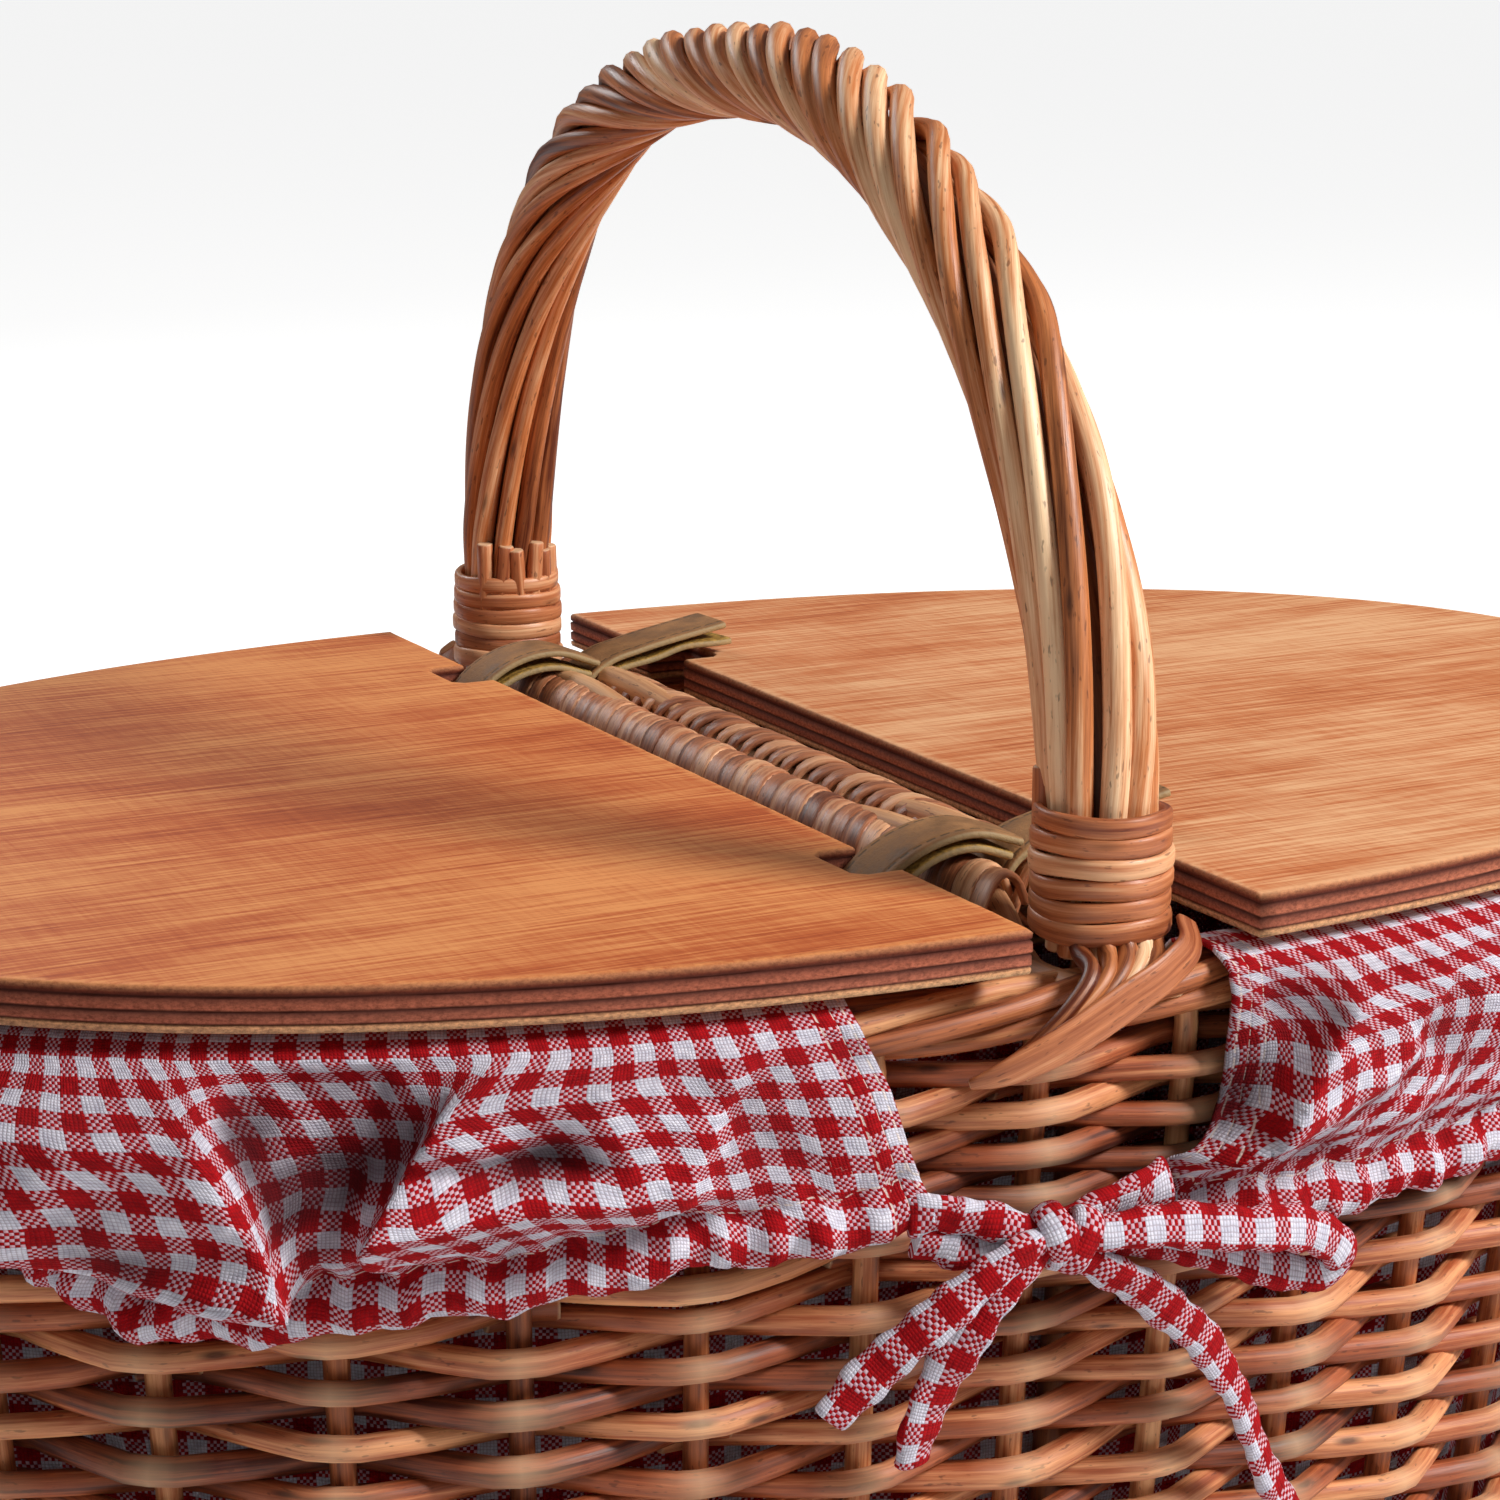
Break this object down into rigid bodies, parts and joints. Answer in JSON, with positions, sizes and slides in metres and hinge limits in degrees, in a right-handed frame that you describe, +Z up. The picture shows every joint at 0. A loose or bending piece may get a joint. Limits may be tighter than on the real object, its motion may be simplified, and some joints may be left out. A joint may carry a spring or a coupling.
{
  "type": "wicker picnic basket",
  "caption": "Oval willow picnic basket with a twisted bow handle, two strap-hinged plywood half-lids and a gingham liner tied at each handle foot.",
  "frame": {"origin": "centre of the underside of the foot border", "axes": "+X along the long axis towards the right lid, +Y along the crossbar towards the far handle foot, +Z up"},
  "size_m": [0.472, 0.3288, 0.3677],
  "materials": {
    "willow": "peeled buff willow, satin, small dark knots",
    "border_willow": "peeled buff willow, satin",
    "handle_willow": "peeled buff willow, tan to orange-brown, semi-gloss",
    "skein": "split willow skein, orange-brown, semi-gloss",
    "crossbar_skein": "dark brown split willow skein, semi-gloss",
    "plywood": "orange-brown stained five-ply board, worn pale edges, satin",
    "leather": "olive-tan leather, yellow suede inside",
    "tack": "dull brass",
    "gingham": "red and white woven gingham cotton, matt"
  },
  "bodies": {
    "basket": {"base_stick_1": "willow", "base_stick_2": "willow", "base_stick_3": "willow", "base_stick_4": "willow", "base_stick_5": "willow", "base_weave": "willow", "crossbar_rail_left": "willow", "crossbar_rail_right": "willow", "crossbar_wrap": "crossbar_skein", "foot_border": "border_willow", "handle_binding_far": "skein", "handle_binding_near": "skein", "handle_core": "handle_willow", "handle_foot_rods_far": "handle_willow", "handle_foot_rods_near": "handle_willow", "handle_lashing_far": "skein", "handle_lashing_near": "skein", "handle_wrap_rod_1": "handle_willow", "handle_wrap_rod_10": "handle_willow", "handle_wrap_rod_2": "handle_willow", "handle_wrap_rod_3": "handle_willow", "handle_wrap_rod_4": "handle_willow", "handle_wrap_rod_5": "handle_willow", "handle_wrap_rod_6": "handle_willow", "handle_wrap_rod_7": "handle_willow", "handle_wrap_rod_8": "handle_willow", "handle_wrap_rod_9": "handle_willow", "liner_bag": "gingham", "liner_flap_left": "gingham", "liner_flap_right": "gingham", "liner_tie_far": "gingham", "liner_tie_near": "gingham", "side_weave": "willow", "stakes_and_rim_border": "border_willow", "strap_loop_left_far": "leather", "strap_loop_left_near": "leather", "strap_loop_right_far": "leather", "strap_loop_right_near": "leather", "top_wale": "willow", "upset_wale": "willow"},
    "left_lid": {"lid_left": "plywood", "strap_tab_left_far": "leather", "strap_tab_left_near": "leather", "strap_tack_left_far_1": "tack", "strap_tack_left_far_2": "tack", "strap_tack_left_near_1": "tack", "strap_tack_left_near_2": "tack"},
    "right_lid": {"lid_right": "plywood", "strap_tab_right_far": "leather", "strap_tab_right_near": "leather", "strap_tack_right_far_1": "tack", "strap_tack_right_far_2": "tack", "strap_tack_right_near_1": "tack", "strap_tack_right_near_2": "tack"}
  },
  "joints": [
    {"name": "left_lid_hinge", "type": "hinge", "parent": "basket", "child": "left_lid", "pos_m": [-0.0244, 0, 0.2072], "axis": [0, 1, 0], "range_deg": [0, 90]},
    {"name": "right_lid_hinge", "type": "hinge", "parent": "basket", "child": "right_lid", "pos_m": [0.0244, 0, 0.2072], "axis": [0, -1, 0], "range_deg": [0, 90]}
  ]
}
